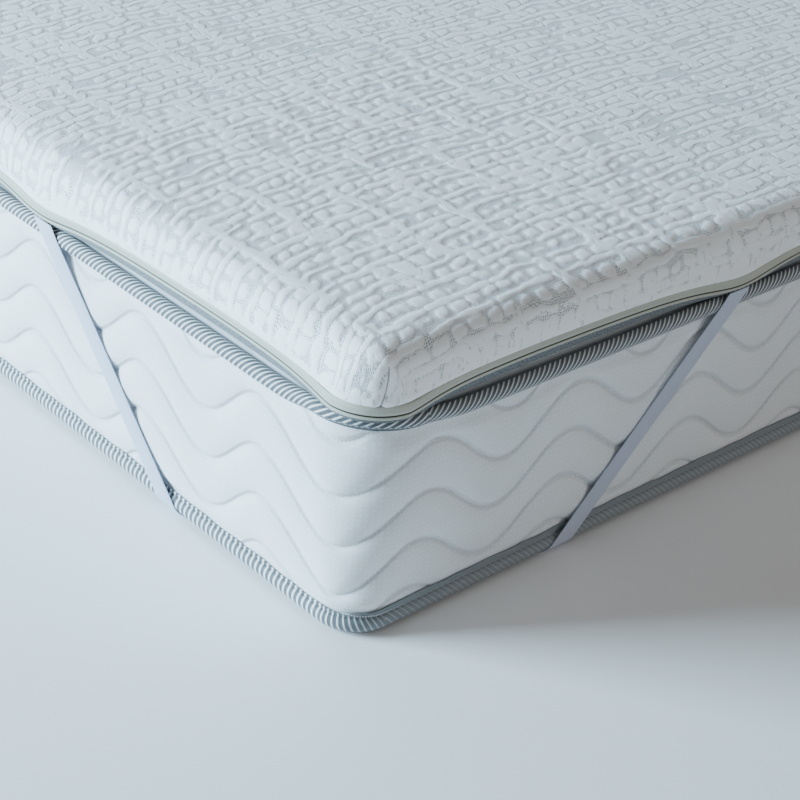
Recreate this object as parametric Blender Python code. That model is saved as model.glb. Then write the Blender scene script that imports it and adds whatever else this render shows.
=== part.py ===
"""A zipped mattress topper strapped to a small double mattress.

The mattress is a plain body with a rolled tape edge round its top and its
bottom. The topper is one filled pad in a knitted cover, closed by a zip tape
that runs all round above a grey base panel. Four elastic bands, one at each
corner, run from the topper's hem down both faces and under the mattress.

Units are metres, +Z is up, and the origin is on the floor under the centre.
A place round the edge is given as an outset: how far it stands outside the
plane of the mattress's border, with inward values negative.
"""

import math

import bmesh
import bpy

# ---- driving dimensions -------------------------------------------------

MATTRESS_WIDTH = 1.200
MATTRESS_LENGTH = 2.000
CORNER_RADIUS = 0.040
TOP_CORNER_RADIUS = 0.070
TIGHTEST_RADIUS = 0.015
CORNER_LIFT = 0.004
CORNER_LIFT_REACH = 0.030
GAP = 0.0003

BORDER_TOP = 0.2052
BORDER_REST = -0.0005
BORDER_BULGE = 0.0030
PANEL_TOP = 0.2316
TAPE_RADIUS = 0.0080
TAPE_OUTSET = -0.0020
TOP_TAPE_HEIGHT = 0.2137
BOTTOM_TAPE_HEIGHT = 0.0102
TAPE_SIDES = 12
FLANGE_THICKNESS = 0.0016
FLANGE_TOP = 0.0222

HEM_HEIGHT = 0.2451
HEM_DROP = 0.0140
HEM_SPREAD = 0.0055
CORNER_PULL = 0.80
CORNER_PULL_REACH = 0.045
STRAP_PULL_REACH = 0.070
ZIP_HALF_WIDTH = 0.0075
ZIP_OUTSET = 0.0005
ZIP_THICKNESS = 0.0020
ZIP_RIDGE = 0.0005

BASE_THICKNESS = 0.0015
BASE_BOTTOM = PANEL_TOP + GAP
PAD_BOTTOM = BASE_BOTTOM + BASE_THICKNESS + GAP
PAD_TOP = 0.3036
PAD_HEM_RADIUS = 0.048
PAD_TOP_RADIUS = 0.024
DART_DEPTH = 0.0015
DART_TOP = PAD_TOP - 0.0080

STRAP_WIDTH = 0.022
STRAP_THICKNESS = 0.0012
STRAP_FROM_CORNER = 0.490
STRAP_CLEARANCE = 0.0004
STRAP_TOP_OUTSET = 0.0046
STRAP_ANGLE_STEPS = 6
CHANNEL_WIDTH = 0.028
CHANNEL_DEPTH = 0.0022

# Distances from a corner at which a section is taken along each side.
TOPPER_STATIONS = (0.065, 0.10, 0.15, 0.22, 0.30, 0.37, 0.43, 0.46, 0.49, 0.52, 0.55)
TOPPER_LONG_STATIONS = (0.62, 0.76)
MATTRESS_STATIONS = (0.055, 0.075, 0.10, 0.20)
# Angles round a corner at which a section is taken, in degrees.
TOPPER_ANGLES = (0, 15, 30, 42, 45, 48, 60, 75, 90)
MATTRESS_ANGLES = (0, 15, 30, 45, 60, 75, 90)
DART_ANGLE = 45

# ---- finishes: colour, roughness ---------------------------------------

FINISHES = {
    "cover_knit": ((0.72, 0.77, 0.81), 0.85),
    "zip_tape": ((0.60, 0.59, 0.54), 0.75),
    "base_melange": ((0.30, 0.32, 0.34), 0.90),
    "border_fabric": ((0.76, 0.80, 0.83), 0.80),
    "tape_stripe": ((0.36, 0.40, 0.43), 0.70),
    "elastic": ((0.66, 0.68, 0.76), 0.65),
}


def make_material(name):
    colour, roughness = FINISHES[name]
    material = bpy.data.materials.new(name)
    material.use_nodes = True
    shader = material.node_tree.nodes["Principled BSDF"]
    shader.inputs["Base Color"].default_value = (*colour, 1.0)
    shader.inputs["Roughness"].default_value = roughness
    shader.inputs["Metallic"].default_value = 0.0
    return material


# ---- the outline that every ring follows --------------------------------


def side_stations(length, distances, long_distances=()):
    """Places along one side, as distances from its middle, both halves."""
    half = length / 2
    reached = [half - d for d in (*distances, *long_distances) if d < half - 1e-6]
    return sorted({*reached, *(-x for x in reached), 0.0})


def outline_stations(angles, distances, long_distances=()):
    """Every place round the outline, as (side, along, angle), one turn.

    Side 0 faces +X, 1 faces +Y, 2 faces -X and 3 faces -Y. On a corner,
    along is the end of the straight stretch and angle runs from 0 to 90.
    """
    stations = []
    for side in range(4):
        length = (MATTRESS_LENGTH, MATTRESS_WIDTH)[side % 2]
        extra = long_distances if side % 2 == 0 else ()
        for along in side_stations(length, distances, extra):
            stations.append((side, along, None))
        for angle in angles:
            stations.append((side, length / 2 - CORNER_RADIUS, angle))
    return stations


def outline_point(station, outset, radius):
    """The plan position of a station on the outline moved out by outset."""
    side, along, angle = station
    reach = (MATTRESS_WIDTH, MATTRESS_LENGTH)[side % 2] / 2 + outset
    half = (MATTRESS_LENGTH, MATTRESS_WIDTH)[side % 2] / 2 + outset
    radius = max(radius, TIGHTEST_RADIUS)
    straight = half - radius
    if angle is None:
        full = (MATTRESS_LENGTH, MATTRESS_WIDTH)[side % 2] / 2 - CORNER_RADIUS
        x, y = reach, along * straight / full
    else:
        turn = math.radians(angle)
        x = reach - radius + radius * math.cos(turn)
        y = straight + radius * math.sin(turn)
    quarter = side * math.pi / 2
    c, s = round(math.cos(quarter)), round(math.sin(quarter))
    return x * c - y * s, x * s + y * c


def pull_at(station):
    """How far the hem is pulled down here: 1 at a strap, 0 where it is free."""
    side, along, angle = station
    half = (MATTRESS_LENGTH, MATTRESS_WIDTH)[side % 2] / 2
    if angle is not None:
        return CORNER_PULL
    pulls = []
    for corner in (-half, half):
        from_corner = abs(along - corner)
        at_strap = (from_corner - STRAP_FROM_CORNER) / STRAP_PULL_REACH
        at_corner = (from_corner - CORNER_RADIUS) / CORNER_PULL_REACH
        pulls.append(1 / (1 + at_strap**2))
        pulls.append(CORNER_PULL / (1 + at_corner**2))
    return sum(p**3 for p in pulls) ** (1 / 3)


def lift_at(station):
    """How far the mattress's upper edge stands up here, most at a corner."""
    side, along, angle = station
    if angle is not None:
        return CORNER_LIFT
    half = (MATTRESS_LENGTH, MATTRESS_WIDTH)[side % 2] / 2
    beyond = half - abs(along) - CORNER_RADIUS
    return CORNER_LIFT * math.exp(-((beyond / CORNER_LIFT_REACH) ** 2))


# ---- mesh making --------------------------------------------------------


def finish_object(name, mesh, finish, collection):
    bm = bmesh.new()
    bm.from_mesh(mesh)
    bmesh.ops.recalc_face_normals(bm, faces=bm.faces)
    bm.to_mesh(mesh)
    bm.free()
    mesh.shade_smooth()
    mesh.set_sharp_from_angle(angle=math.radians(40))
    obj = bpy.data.objects.new(name, mesh)
    obj.data.materials.append(make_material(finish))
    collection.objects.link(obj)
    return obj


def loft_mesh(name, rings, closed_section):
    """Skins sections that each have the same number of points.

    With closed_section each section is a closed loop, so the skin is a
    torus-like ring. Without it the first and last points of all sections
    form two flat caps, and the skin is one filled solid.
    """
    bm = bmesh.new()
    grid = [[bm.verts.new(p) for p in ring] for ring in rings]
    count = len(grid[0])
    steps = count if closed_section else count - 1
    for here, after in zip(grid, grid[1:] + grid[:1]):
        for i in range(steps):
            j = (i + 1) % count
            bm.faces.new((here[i], after[i], after[j], here[j]))
    if not closed_section:
        bm.faces.new([ring[0] for ring in grid])
        bm.faces.new([ring[-1] for ring in reversed(grid)])
    mesh = bpy.data.meshes.new(name)
    bm.to_mesh(mesh)
    bm.free()
    return mesh


def band_mesh(name, rows):
    """Skins a long band from rows of four points, and caps its two ends."""
    bm = bmesh.new()
    grid = [[bm.verts.new(p) for p in row] for row in rows]
    for here, after in zip(grid, grid[1:]):
        for i in range(4):
            j = (i + 1) % 4
            bm.faces.new((here[i], after[i], after[j], here[j]))
    bm.faces.new(grid[0])
    bm.faces.new(grid[-1])
    mesh = bpy.data.meshes.new(name)
    bm.to_mesh(mesh)
    bm.free()
    return mesh


def sweep(name, stations, section_at, finish, collection, closed_section):
    """Carries a section of (outset, z, corner radius) round the outline."""
    rings = []
    for station in stations:
        ring = []
        for outset, z, radius in section_at(station):
            x, y = outline_point(station, outset, radius)
            ring.append((x, y, z))
        rings.append(ring)
    mesh = loft_mesh(name, rings, closed_section)
    return finish_object(name, mesh, finish, collection)


# ---- the mattress -------------------------------------------------------


def border_radius(height):
    """The mattress's corners are rounder at the top than at the bottom."""
    share = (height - BOTTOM_TAPE_HEIGHT) / (TOP_TAPE_HEIGHT - BOTTOM_TAPE_HEIGHT)
    share = min(max(share, 0.0), 1.0)
    return CORNER_RADIUS + (TOP_CORNER_RADIUS - CORNER_RADIUS) * share


def mattress_section(station):
    """From the flat underside, up the border, to the crowned top panel."""
    ledge = TAPE_OUTSET - TAPE_RADIUS - 0.0005
    roll_top = BOTTOM_TAPE_HEIGHT + TAPE_RADIUS
    lift = lift_at(station)
    points = [
        (-0.1000, 0.0000),
        (-0.0180, 0.0000),
        (ledge, 0.0030),
        (ledge, roll_top + 0.0004),
        (BORDER_REST, roll_top + 0.0008),
        (BORDER_REST, FLANGE_TOP + 0.0040),
        (BORDER_BULGE - 0.0008, 0.0600),
        (BORDER_BULGE, 0.1100),
        (BORDER_BULGE - 0.0008, 0.1600),
        (BORDER_REST + 0.0003, 0.1920),
        (BORDER_REST, BORDER_TOP + lift),
        (ledge, BORDER_TOP + 0.0002 + lift),
        (ledge, TOP_TAPE_HEIGHT + 0.0045 + lift),
        (-0.0200, PANEL_TOP - 0.0070 + lift / 2),
        (-0.0300, PANEL_TOP - 0.0045),
        (-0.0450, PANEL_TOP - 0.0020),
        (-0.0800, PANEL_TOP),
    ]
    return [(o, z, border_radius(z) + o) for o, z in points]


def make_mattress(stations, collection, cutters):
    body = sweep(
        "mattress_body", stations, mattress_section, "border_fabric", collection, False
    )
    for x_sign, y_sign in CORNERS:
        channel = make_channel_cutter(x_sign, y_sign, cutters)
        cut = body.modifiers.new(channel.name, "BOOLEAN")
        cut.operation = "DIFFERENCE"
        cut.object = channel
    return body


def make_channel_cutter(x_sign, y_sign, cutters):
    """The shallow groove that a taut band presses across the underside."""
    bpy.ops.mesh.primitive_cube_add(size=1.0)
    cutter = bpy.context.active_object
    cutter.name = f"cutter_channel_{CORNERS[(x_sign, y_sign)]}"
    length = 1.3 * under_run() * math.sqrt(2)
    for vertex in cutter.data.vertices:
        vertex.co.x *= length
        vertex.co.y *= CHANNEL_WIDTH
        vertex.co.z *= 2 * CHANNEL_DEPTH
    cutter.location = (
        x_sign * (MATTRESS_WIDTH / 2 - under_run() / 2),
        y_sign * (MATTRESS_LENGTH / 2 - under_run() / 2),
        0.0,
    )
    cutter.rotation_euler.z = -x_sign * y_sign * math.pi / 4
    cutter.hide_render = True
    cutter.display_type = "WIRE"
    for owner in list(cutter.users_collection):
        owner.objects.unlink(cutter)
    cutters.objects.link(cutter)
    return cutter


def roll_points(height, first, last, steps):
    """Points of the tape's round roll between two angles, in degrees."""
    points = []
    for i in range(steps + 1):
        turn = math.radians(first + (last - first) * i / steps)
        outset = TAPE_OUTSET + TAPE_RADIUS * math.cos(turn)
        points.append((outset, height + TAPE_RADIUS * math.sin(turn)))
    return points


def top_tape_section(station):
    last = 360 - 360 / TAPE_SIDES
    height = TOP_TAPE_HEIGHT + lift_at(station)
    roll = roll_points(height, 0, last, TAPE_SIDES - 1)
    return [(o, z, TOP_CORNER_RADIUS + o) for o, z in roll]


def bottom_tape_section(station):
    """The roll, and the flat sewn flange that stands up the border."""
    flange_foot = BOTTOM_TAPE_HEIGHT + TAPE_RADIUS
    points = [
        *roll_points(BOTTOM_TAPE_HEIGHT, -240, 45, TAPE_SIDES - 3),
        (FLANGE_THICKNESS, flange_foot - 0.0005),
        (FLANGE_THICKNESS, FLANGE_TOP),
        (0.0, FLANGE_TOP),
        (0.0, flange_foot),
    ]
    return [(o, z, CORNER_RADIUS + o) for o, z in points]


# ---- the topper ---------------------------------------------------------


def hem(station):
    """The hem's height, the outset of the zip's inner face, and the pull."""
    pull = pull_at(station)
    height = HEM_HEIGHT - HEM_DROP * pull
    inner = ZIP_OUTSET - ZIP_THICKNESS + HEM_SPREAD * pull
    return height, inner, pull


def pad_radius(height):
    """The pad is round at its hem and sharper at its top edge."""
    share = (height - HEM_HEIGHT) / (PAD_TOP - HEM_HEIGHT)
    share = min(max(share, 0.0), 1.0)
    return PAD_HEM_RADIUS + (PAD_TOP_RADIUS - PAD_HEM_RADIUS) * share


def zip_section(station):
    height, inner, _ = hem(station)
    outer = inner + ZIP_THICKNESS
    points = [
        (inner, height - ZIP_HALF_WIDTH),
        (outer, height - ZIP_HALF_WIDTH),
        (outer + ZIP_RIDGE, height),
        (outer, height + ZIP_HALF_WIDTH),
        (inner, height + ZIP_HALF_WIDTH),
    ]
    return [(o, z, PAD_HEM_RADIUS + o) for o, z in points]


def base_section(station):
    """A flat sheet whose rim turns up behind the zip tape."""
    height, inner, pull = hem(station)
    rim = inner - 0.0005
    rim_top = height - 0.0040
    rim_back = rim - BASE_THICKNESS
    low = BASE_BOTTOM
    high = BASE_BOTTOM + BASE_THICKNESS
    points = [
        (-0.0900, low),
        (-0.0600, low),
        (-0.0300, low - 0.0026 * pull),
        (-0.0140 + 0.0040 * pull, low + 0.0002 - 0.0063 * pull),
        (-0.0050 + 0.0050 * pull, low + 0.0010 - 0.0082 * pull),
        (rim, low + 0.0032 - 0.0100 * pull),
        (rim, rim_top),
        (rim_back, rim_top),
        (rim_back, high + 0.0022 - 0.0090 * pull),
        (-0.0062 + 0.0046 * pull, high + 0.0012 - 0.0083 * pull),
        (-0.0145 + 0.0040 * pull, high + 0.0003 - 0.0063 * pull),
        (-0.0300, high - 0.0026 * pull),
        (-0.0600, high),
        (-0.0900, high),
    ]
    return [(o, z, PAD_HEM_RADIUS + o) for o, z in points]


def pad_section(station):
    """One filled pad: flat base, drawn-in hem, full side, crowned top."""
    height, inner, pull = hem(station)
    low = PAD_BOTTOM
    inside_rim = inner - 0.0005 - BASE_THICKNESS - 0.0005
    behind_zip = inner - GAP
    zip_top = height + ZIP_HALF_WIDTH
    points = [
        (-0.0900, low),
        (-0.0600, low),
        (-0.0300, low + 0.0006 - 0.0026 * pull),
        (-0.0150 + 0.0040 * pull, low + 0.0011 - 0.0063 * pull),
        (-0.0070 + 0.0046 * pull, low + 0.0022 - 0.0084 * pull),
        (inside_rim, low + 0.0034 - 0.0090 * pull),
        (inside_rim, height - 0.0034),
        (behind_zip, height - 0.0030),
        (behind_zip, zip_top + 0.0004),
        (inner + 0.0023, zip_top + 0.0008),
        (0.0020 + 0.0025 * pull, zip_top + 0.0075),
        (0.0025 + 0.0005 * pull, PAD_TOP - 0.0320),
        (0.0005, PAD_TOP - 0.0200),
        (-0.0060, PAD_TOP - 0.0115),
        (-0.0160, PAD_TOP - 0.0070),
        (-0.0400, PAD_TOP - 0.0050),
        (-0.1000, PAD_TOP - 0.0025),
        (-0.2500, PAD_TOP),
    ]
    dart = DART_DEPTH if station[2] == DART_ANGLE else 0.0
    section = []
    for outset, z in points:
        inset = dart if zip_top < z < DART_TOP else 0.0
        section.append((outset - inset, z, pad_radius(z) + outset - inset))
    return section


# ---- the elastic bands --------------------------------------------------

CORNERS = {
    (1, -1): "front_right",
    (1, 1): "back_right",
    (-1, 1): "back_left",
    (-1, -1): "front_left",
}


def strap_top_height():
    return HEM_HEIGHT - HEM_DROP - ZIP_HALF_WIDTH - GAP


def strap_profile():
    """The band's middle surface in section, from its sewn end down.

    Each row is (outset, z, normal outset, normal z, length so far). It runs
    off the upper roll, straight down, round the lower roll and stops where
    it lies flat under the mattress.
    """
    radius = TAPE_RADIUS + STRAP_CLEARANCE + STRAP_THICKNESS / 2
    away = STRAP_TOP_OUTSET - TAPE_OUTSET
    up = strap_top_height() - TOP_TAPE_HEIGHT
    leave = math.atan2(up, away) - math.acos(radius / math.hypot(away, up))
    turns = [(TOP_TAPE_HEIGHT, leave), (TOP_TAPE_HEIGHT, leave / 2), (TOP_TAPE_HEIGHT, 0.0)]
    for i in range(STRAP_ANGLE_STEPS + 1):
        turns.append((BOTTOM_TAPE_HEIGHT, -math.pi / 2 * i / STRAP_ANGLE_STEPS))
    rows = [(STRAP_TOP_OUTSET, strap_top_height(), math.cos(leave), math.sin(leave))]
    for height, turn in turns:
        c, s = math.cos(turn), math.sin(turn)
        rows.append((TAPE_OUTSET + radius * c, height + radius * s, c, s))
    profile = []
    length = 0.0
    for i, row in enumerate(rows):
        if i:
            length += math.hypot(row[0] - rows[i - 1][0], row[1] - rows[i - 1][1])
        profile.append((*row, length))
    return profile


def under_run():
    """Where the band's middle line meets the border's plane underneath."""
    outset, _, _, _, length = strap_profile()[-1]
    return STRAP_FROM_CORNER - length - outset


def strap_half_rows(swap):
    """Rows of four points for half a band, from its sewn end to the middle.

    Positions are distances from the mattress's sharp corner: along the face
    that the half hangs on, and in from that face. With swap the half hangs
    on the corner's other face.
    """
    half_cut = STRAP_WIDTH / 2 * math.sqrt(2)
    half_thick = STRAP_THICKNESS / 2
    sections = []
    for outset, z, n_out, n_z, length in strap_profile():
        sections.append((outset, z, n_out, n_z, STRAP_FROM_CORNER - length))
    last = under_run() / 2 - half_cut
    sections.append((-last, sections[-1][1], 0.0, -1.0, under_run() - last))
    rows = []
    for outset, z, n_out, n_z, along in sections:
        row = []
        for cut, side in ((-1, 1), (1, 1), (1, -1), (-1, -1)):
            a = along + cut * half_cut
            inward = -(outset + side * half_thick * n_out)
            height = z + side * half_thick * n_z
            row.append((inward, a, height) if swap else (a, inward, height))
        rows.append(row)
    return rows


def make_strap(x_sign, y_sign, collection):
    """One band round one corner: down a face, under it, up the other."""
    first = strap_half_rows(False)
    second = strap_half_rows(True)
    rows = []
    for row in first + second[::-1]:
        placed = []
        for along_x, along_y, z in row:
            x = x_sign * (MATTRESS_WIDTH / 2 - along_x)
            y = y_sign * (MATTRESS_LENGTH / 2 - along_y)
            placed.append((x, y, z))
        rows.append(placed)
    name = f"strap_{CORNERS[(x_sign, y_sign)]}"
    return finish_object(name, band_mesh(name, rows), "elastic", collection)


# ---- assembly -----------------------------------------------------------


def clear_scene():
    for obj in list(bpy.data.objects):
        bpy.data.objects.remove(obj, do_unlink=True)


def make_collection(name):
    collection = bpy.data.collections.new(name)
    bpy.context.scene.collection.children.link(collection)
    return collection


def main():
    clear_scene()
    parts = make_collection("mattress_topper")
    cutters = make_collection("cutters")
    plain = outline_stations(MATTRESS_ANGLES, MATTRESS_STATIONS)
    hemmed = outline_stations(TOPPER_ANGLES, TOPPER_STATIONS, TOPPER_LONG_STATIONS)
    make_mattress(plain, parts, cutters)
    sweep("tape_top", plain, top_tape_section, "tape_stripe", parts, True)
    sweep("tape_bottom", plain, bottom_tape_section, "tape_stripe", parts, True)
    sweep("topper_base", hemmed, base_section, "base_melange", parts, False)
    sweep("topper_pad", hemmed, pad_section, "cover_knit", parts, False)
    sweep("zip_tape", hemmed, zip_section, "zip_tape", parts, True)
    for x_sign, y_sign in CORNERS:
        make_strap(x_sign, y_sign, parts)


main()
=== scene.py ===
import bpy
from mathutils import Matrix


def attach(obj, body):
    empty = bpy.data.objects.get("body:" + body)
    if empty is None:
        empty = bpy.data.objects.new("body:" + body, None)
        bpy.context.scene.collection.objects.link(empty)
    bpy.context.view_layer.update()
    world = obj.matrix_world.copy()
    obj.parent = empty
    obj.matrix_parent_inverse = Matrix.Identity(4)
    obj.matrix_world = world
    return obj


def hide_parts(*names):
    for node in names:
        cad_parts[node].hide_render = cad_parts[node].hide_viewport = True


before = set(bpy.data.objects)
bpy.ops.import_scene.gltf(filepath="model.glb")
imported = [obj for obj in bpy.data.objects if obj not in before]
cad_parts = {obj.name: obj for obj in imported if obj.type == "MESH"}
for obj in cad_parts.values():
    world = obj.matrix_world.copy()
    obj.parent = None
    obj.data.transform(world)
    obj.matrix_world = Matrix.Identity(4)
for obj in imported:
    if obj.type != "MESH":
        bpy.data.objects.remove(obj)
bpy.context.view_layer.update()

# The look of a zipped mattress topper strapped down on a quilted mattress.
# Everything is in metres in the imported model's frame: +Z is up and the origin
# is on the floor under the centre. The sections follow the object from the
# mattress up to the topper, then the floor, the lights and the camera.

import math

import bmesh
import bpy
import numpy as np
from mathutils import Matrix, Vector

# ---- The mattress ----
# A sprung mattress in a thick white knit with small raised dots. Its border
# is quilted in stacked waves, chain-stitched through knit, wadding and
# backing, so the cloth puffs up between the lines.

WIDTH, LENGTH = 1.200, 2.000
CORNERS = {"front_right": (1, -1), "back_right": (1, 1), "back_left": (-1, 1), "front_left": (-1, -1)}
NEAR_REACH = 0.62  # the photographed part of each face
CORNER_RADIUS, TOP_CORNER_RADIUS = 0.040, 0.070
MEAN_RADIUS, TIGHTEST_RADIUS = 0.055, 0.012
BEND_STEP = 0.006  # the longest step round a corner
CORNER_LIFT, LIFT_FLAT, LIFT_REACH = 0.0065, 0.015, 0.030
WALL_FOOT, BORDER_TOP, WALL_ROWS = 0.0190, 0.2052, 64
PANEL_TOP = 0.2316
TAPE_OUTSET, TAPE_RADIUS = -0.0020, 0.0080
TOP_TAPE_HEIGHT, BOTTOM_TAPE_HEIGHT = 0.2137, 0.0102
CORNER_PULL, CORNER_PULL_REACH = 0.80, 0.045
STRAP_FROM_CORNER, STRAP_PULL_REACH = 0.490, 0.070

WAVE_COUNT = 34  # waves round the whole border
WAVE_SWING, WAVE_PITCH = 0.0250, 0.0515  # a wave's half height, and row to row
WAVE_LOWEST = 0.0365 - WAVE_SWING
WAVE_FALL = 0.54  # the share of a wave in which it falls
WAVE_CREST = 0.0188  # where the first crest lies on the round
PUFF, PUFF_REACH = 0.0038, 0.0044  # the steep rise beside a stitched line
SWELL, SWELL_REACH = 0.0014, 0.018  # the gentle rise that goes on from it
DOT_PITCH, STITCH_LENGTH = 0.0052, 0.0032
# How far the border's colour darkens beside a quilted line, as painted shade in its groove, and how much
# the thread shows on the line.
GROOVE_PAINTED_SHADE, THREAD_SHOWN = 0.22, 0.55
CREASES = ((-0.190, 0.0035), (0.130, 0.0025))  # each one's place and width
UNDER_RUN = 0.2692  # from a face to where the straps cross, under the corner
CHANNEL_LENGTH, CHANNEL_WIDTH, CHANNEL_DEPTH = 0.60, 0.028, 0.0022


def spread(length, step_at):
    """Distances from 0 to length whose steps grow as step_at says."""
    reached = [0.0]
    while reached[-1] < length:
        reached.append(reached[-1] + step_at(reached[-1]))
    return np.array(reached) * length / reached[-1]


def graded(fine, coarse, reach):
    """Fine steps within reach, then steps that grow by 6% each."""
    return lambda d: fine if d < reach else min(coarse, fine + 0.06 * (d - reach))


class Edge:
    """Places round the mattress, counter-clockwise from the near corner.

    Side 0 faces +X, 1 faces +Y, 2 faces -X and 3 faces -Y. share goes from 0
    to 1 along a side and stays 1 on the corner after it, where turn goes to
    90 degrees. run is the distance travelled, from_start and from_end are
    the distances from the side's two sharp corners.
    """

    def __init__(self, fine, coarse):
        side, share, turn, run = [], [], [], []
        travelled = 0.0
        for k in range(4):
            length = (LENGTH, WIDTH)[k % 2] - 2 * MEAN_RADIUS
            far = spread(length, lambda d: coarse)
            near = spread(length, graded(fine, coarse, NEAR_REACH))
            along = {0: near, 3: length - near[::-1]}.get(k, far)
            arc = MEAN_RADIUS * math.pi / 2
            steps = round(arc / (fine if k == 3 else min(coarse, BEND_STEP)))
            bend = np.arange(1, steps) / steps
            side += [k] * (len(along) + len(bend))
            share += [*(along / length), *np.ones(len(bend))]
            turn += [*np.zeros(len(along)), *(90 * bend)]
            run += [*(travelled + along), *(travelled + length + arc * bend)]
            travelled += length + arc
        self.side, self.share = np.array(side), np.array(share)
        self.turn, self.run = np.array(turn), np.array(run)
        self.total = travelled
        # The near corner lies at the end of the round, so distances past
        # the middle of the round are counted back from it.
        self.near = np.where(self.run > travelled / 2, self.run - travelled, self.run)
        span = np.where(self.side % 2 == 0, LENGTH, WIDTH)
        inside = span - 2 * MEAN_RADIUS
        self.from_start = MEAN_RADIUS + self.share * inside
        self.from_end = span - self.from_start
        self.corner = self.turn > 0

    def plan(self, outset, radius):
        """x and y of points outset from the border; shapes are (n, m)."""
        even = (self.side % 2 == 0)[:, None]
        half = np.where(even, LENGTH, WIDTH) / 2 + outset
        reach = np.where(even, WIDTH, LENGTH) / 2 + outset
        radius = np.maximum(radius, TIGHTEST_RADIUS)
        angle = np.radians(self.turn)[:, None]
        x = reach - radius + radius * np.cos(angle)
        y = (half - radius) * (2 * self.share[:, None] - 1) + radius * np.sin(angle)
        quarter = self.side[:, None] * math.pi / 2
        c, s = np.cos(quarter), np.sin(quarter)
        return x * c - y * s, x * s + y * c

    def lift(self):
        """How far the mattress's upper edge stands up at the corners."""
        beyond = np.minimum(self.from_start, self.from_end) - CORNER_RADIUS
        beyond = np.where(self.corner, 0.0, np.maximum(beyond - LIFT_FLAT, 0.0))
        return CORNER_LIFT * np.exp(-((beyond / LIFT_REACH) ** 2))


def border_radius(height):
    share = (height - BOTTOM_TAPE_HEIGHT) / (TOP_TAPE_HEIGHT - BOTTOM_TAPE_HEIGHT)
    return CORNER_RADIUS + (TOP_CORNER_RADIUS - CORNER_RADIUS) * np.clip(share, 0, 1)


def pull_at(from_start, from_end):
    """How far the topper is drawn down: 1 at a strap, 0 where it is free."""
    total = 0.0
    for distance in (from_start, from_end):
        strap = (distance - STRAP_FROM_CORNER) / STRAP_PULL_REACH
        corner = np.maximum(distance - CORNER_RADIUS, 0) / CORNER_PULL_REACH
        total = total + (1 / (1 + strap**2)) ** 3
        total = total + (CORNER_PULL / (1 + corner**2)) ** 3
    return total ** (1 / 3)


def pull_round(edge, shift=0.0):
    """The pull at each of an edge's places, its corners moved in by shift."""
    free = pull_at(edge.from_start - shift, edge.from_end - shift)
    return np.where(edge.corner, CORNER_PULL, free)[:, None]


def drawn_down(rows, pull):
    """Outsets and heights between the free ones and the pulled ones in rows."""
    free_o, free_z, held_o, held_z = np.array(rows).T[:4]
    return free_o + (held_o - free_o) * pull, free_z + (held_z - free_z) * pull


def smooth(value, low, high):
    """0 below low, 1 above high and an S-curve between."""
    t = np.clip((value - low) / (high - low), 0, 1)
    return t * t * (3 - 2 * t)


def put_in_scene(name, data):
    """Makes an object of a mesh, a light or a camera and puts it in the scene."""
    thing = bpy.data.objects.new(name, data)
    bpy.context.scene.collection.objects.link(thing)
    return thing


def join_mesh(name, points, faces, uv, material, fields=()):
    """Makes a smooth object; uv holds one pair for each face corner."""
    mesh = bpy.data.meshes.new(name)
    mesh.from_pydata(points.tolist(), [], faces)
    mesh.uv_layers.new(name="cloth").data.foreach_set("uv", uv.ravel())
    for field, values in dict(fields).items():
        layer = mesh.attributes.new(field, "FLOAT", "POINT")
        layer.data.foreach_set("value", values.ravel().astype(np.float32))
    bm = bmesh.new()
    bm.from_mesh(mesh)
    bmesh.ops.recalc_face_normals(bm, faces=bm.faces)
    bm.to_mesh(mesh)
    bm.free()
    mesh.shade_smooth()
    mesh.set_sharp_from_angle(angle=math.radians(60))
    mesh.materials.append(material)
    return put_in_scene(name, mesh)


def cells(grid):
    """A grid's values at the four corners of each of its cells."""
    corners = [grid[:-1, :-1], grid[1:, :-1], grid[1:, 1:], grid[:-1, 1:]]
    return np.stack(corners, -1).reshape(-1, 4)


def carry_round(name, edge, outset, z, radius, u, v, material, closed=True, fields=()):
    """Skins a section carried round the edge, with u and v in metres.

    outset, z, radius, u and v are (stations, section points). A closed
    section makes a ring; an open one is filled flat across both its ends.
    """
    x, y = edge.plan(outset, radius)
    n, m = z.shape
    points = np.stack([x, y, z], -1).reshape(-1, 3)
    index = np.arange(n * m).reshape(n, m)
    index = np.vstack([index, index[:1]])
    u, v = np.vstack([u, u[:1] + edge.total]), np.vstack([v, v[:1]])
    if closed:
        step = np.hypot(z[0, 0] - z[0, -1], outset[0, 0] - outset[0, -1])
        index = np.hstack([index, index[:, :1]])
        u, v = np.hstack([u, u[:, :1]]), np.hstack([v, v[:, -1:] + step])
    faces = cells(index).tolist()
    uv = np.stack([cells(u), cells(v)], -1).reshape(-1, 2)
    if not closed:
        for cap in (np.arange(n) * m, np.arange(n)[::-1] * m + m - 1):
            faces.append(cap.tolist())
            uv = np.vstack([uv, points[cap, :2]])
    return join_mesh(name, points, faces, uv, material, fields)


def linear(code):
    """An sRGB hex colour as linear red, green, blue and alpha."""
    parts = [int(code[i : i + 2], 16) / 255 for i in (0, 2, 4)]
    curve = [p / 12.92 if p <= 0.04045 else ((p + 0.055) / 1.055) ** 2.4 for p in parts]
    return (*curve, 1.0)


def add(tree, kind, inputs=(), **settings):
    """Adds a node: settings are its own, inputs are values, outputs or nodes.

    inputs is a list in the node's own order, or a dict by name or number. A
    node in it stands for the first of its outputs in use.
    """
    made = tree.nodes.new("ShaderNode" + kind)
    for name, value in settings.items():
        setattr(made, name, value)
    pairs = inputs.items() if isinstance(inputs, dict) else enumerate(inputs)
    for key, value in pairs:
        if isinstance(value, bpy.types.Node):
            value = next(output for output in value.outputs if output.enabled)
        if isinstance(value, bpy.types.NodeSocket):
            tree.links.new(value, made.inputs[key])
        else:
            made.inputs[key].default_value = value
    return made


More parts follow.
